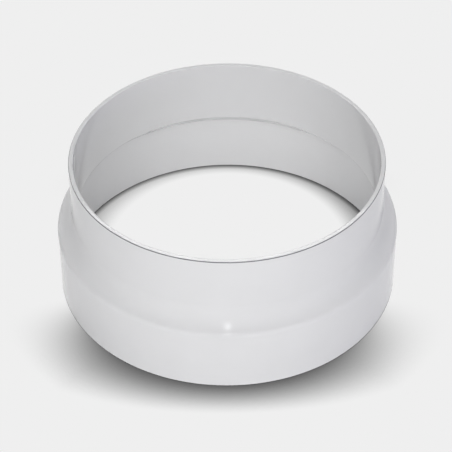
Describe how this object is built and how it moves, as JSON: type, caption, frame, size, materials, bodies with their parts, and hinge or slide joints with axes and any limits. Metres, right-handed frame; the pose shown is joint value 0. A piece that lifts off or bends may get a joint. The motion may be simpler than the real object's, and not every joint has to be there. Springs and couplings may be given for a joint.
{
  "type": "duct reducer",
  "caption": "One-piece round duct reducer: a short spigot flares through a curved shoulder into a wider socket, in smooth white moulded plastic.",
  "frame": {"origin": "centre of the socket's mouth, on the face that the part stands on", "axes": "+Z along the duct's axis, from the wide socket up to the narrow spigot; X and Y are free, because the part is round"},
  "size_m": [0.1648, 0.1648, 0.0704],
  "materials": {
    "white_plastic": "smooth moulded satin gloss, as it comes from the tool"
  },
  "bodies": {
    "root": {"reducer": "white_plastic"}
  },
  "joints": []
}
